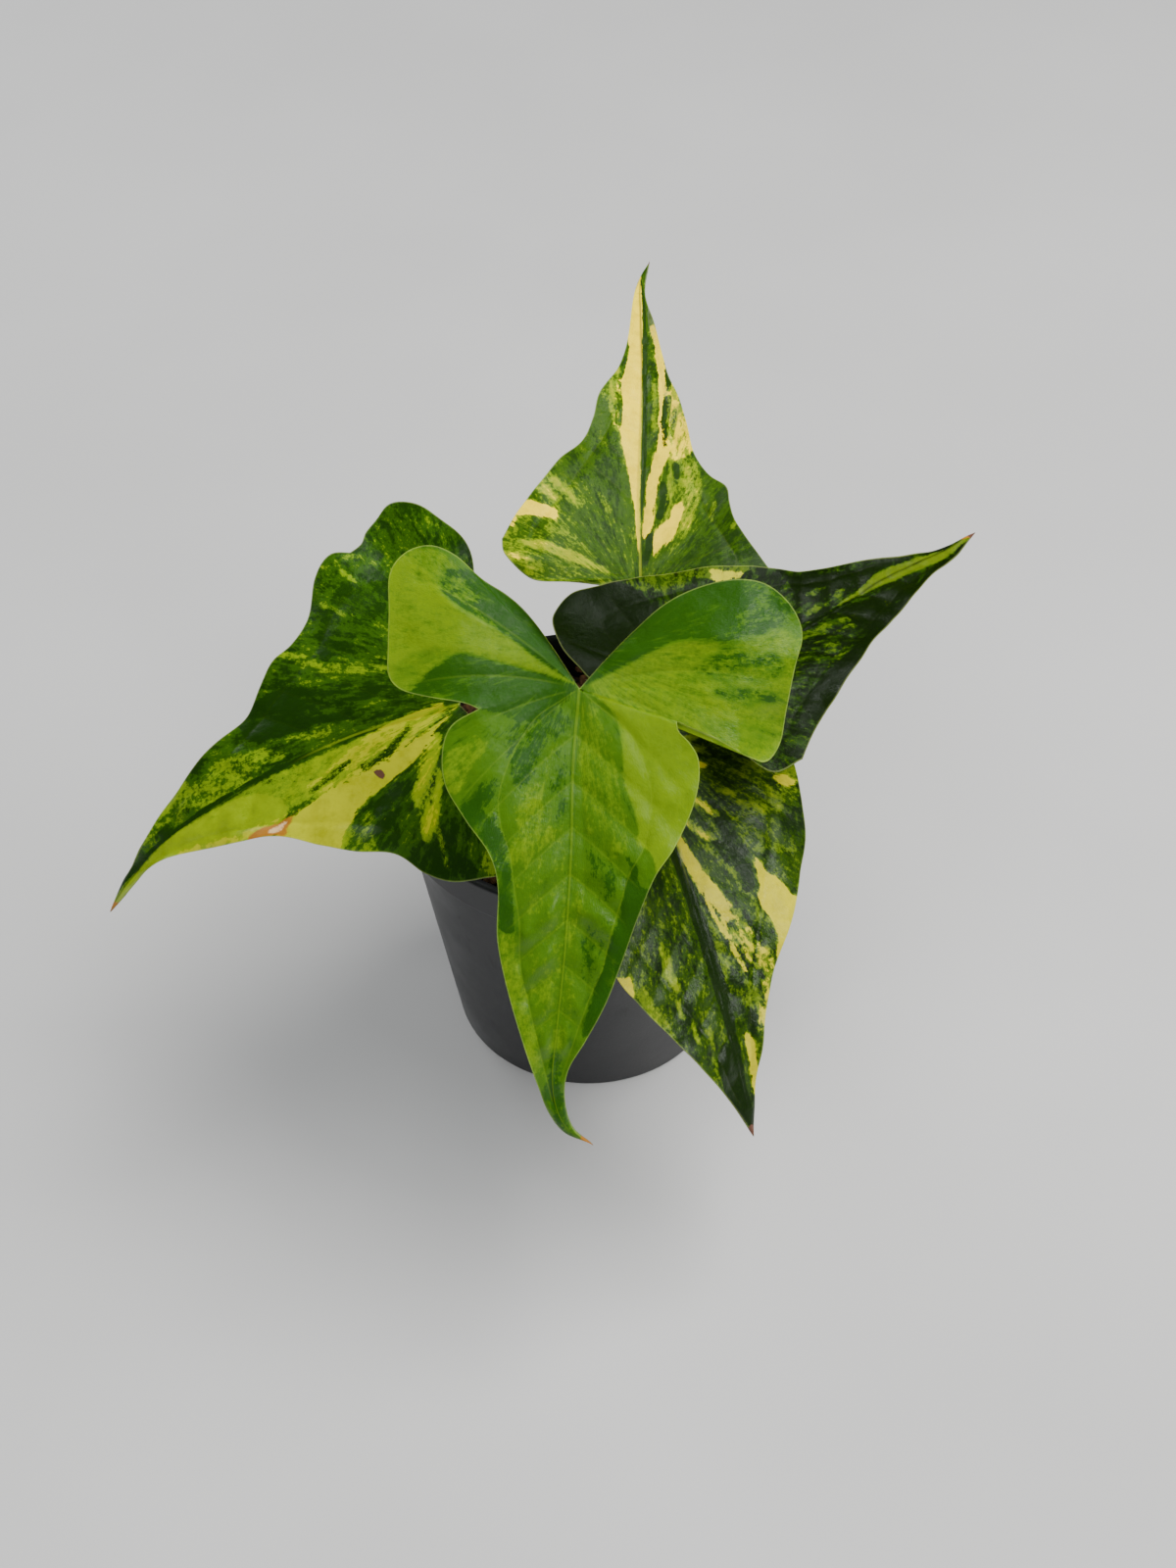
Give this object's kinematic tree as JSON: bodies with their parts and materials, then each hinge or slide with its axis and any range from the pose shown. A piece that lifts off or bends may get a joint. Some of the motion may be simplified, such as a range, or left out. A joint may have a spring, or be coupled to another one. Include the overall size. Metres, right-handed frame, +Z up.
{
  "type": "potted variegated pterodactyl anthurium",
  "caption": "Young aroid house plant with variegated three-lobed leaves on slender stalks, rooted in chunky bark mix in a plain round pot.",
  "frame": {"origin": "centre of the pot's flat underside", "axes": "+Z up from the surface that the pot stands on; -Y is the front, where the newest leaf hangs down; +X to the right of it"},
  "size_m": [0.2304, 0.2512, 0.1824],
  "materials": {
    "pot_plastic": "black moulded nursery pot, fine satin texture",
    "bark_mix": "damp bark chips with pale pumice",
    "crown_tissue": "woody green-brown crown with pale roots",
    "young_stalk": "smooth fresh green",
    "stalk": "smooth mid green",
    "young_leaf": "glossy lime and mid green new leaf, pale margin",
    "leaf": "satin dark green leaf mottled with lime, yellow and cream"
  },
  "bodies": {
    "root": {"pot": "pot_plastic", "potting_mix": "bark_mix", "crown": "crown_tissue", "stalk_front": "young_stalk", "stalk_left": "stalk", "stalk_back": "stalk", "stalk_right": "stalk", "stalk_lower": "stalk", "blade_front": "young_leaf", "blade_left": "leaf", "blade_back": "leaf", "blade_right": "leaf", "blade_lower": "leaf"}
  },
  "joints": []
}
